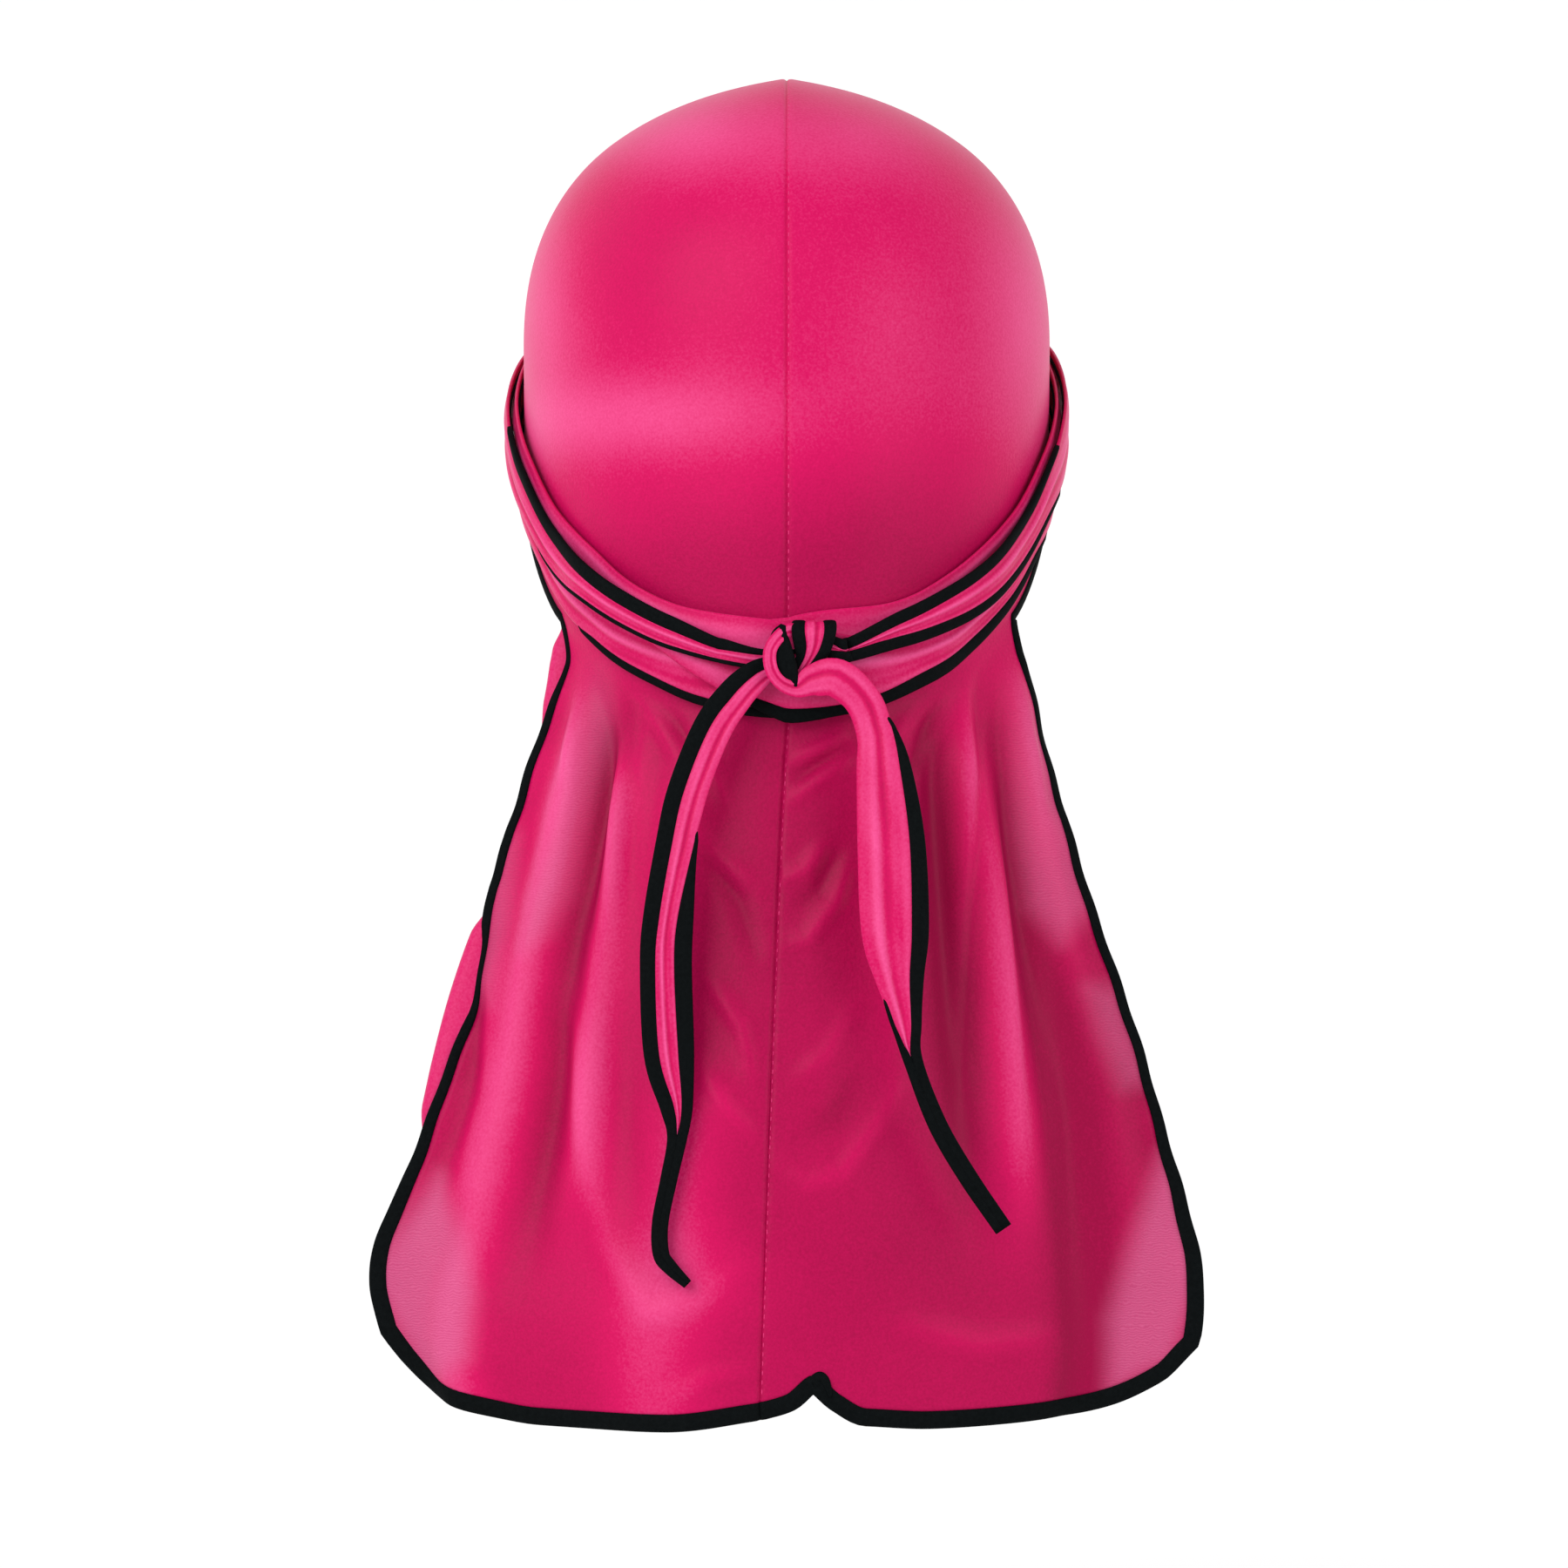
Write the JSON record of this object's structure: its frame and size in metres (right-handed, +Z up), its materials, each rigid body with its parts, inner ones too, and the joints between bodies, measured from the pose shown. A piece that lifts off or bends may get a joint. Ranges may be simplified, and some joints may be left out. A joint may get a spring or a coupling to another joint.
{
  "type": "durag, tied, in its worn shape",
  "caption": "Silky durag in its tied, worn shape: seamed crown, long cape behind, straps wound round the head and knotted at the nape, black bound edges.",
  "frame": {"origin": "inside of the crown at its top, where the wearer's head meets it", "axes": "+Z up along the wearer's height, +Y the way the wearer faces, so the seam, knot and cape are on the -Y side"},
  "size_m": [0.2442, 0.2121, 0.3977],
  "materials": {
    "silky_cloth": "silky satin knit, hot pink, slightly sheer in one layer",
    "binding": "matt black stretch binding tape"
  },
  "bodies": {
    "root": {"panel_left": "silky_cloth", "panel_right": "silky_cloth", "edge_binding_left": "binding", "edge_binding_right": "binding", "strap_left": "silky_cloth", "strap_binding_left_upper": "binding", "strap_binding_left_lower": "binding", "strap_right": "silky_cloth", "strap_binding_right_upper": "binding", "strap_binding_right_lower": "binding"}
  },
  "joints": []
}
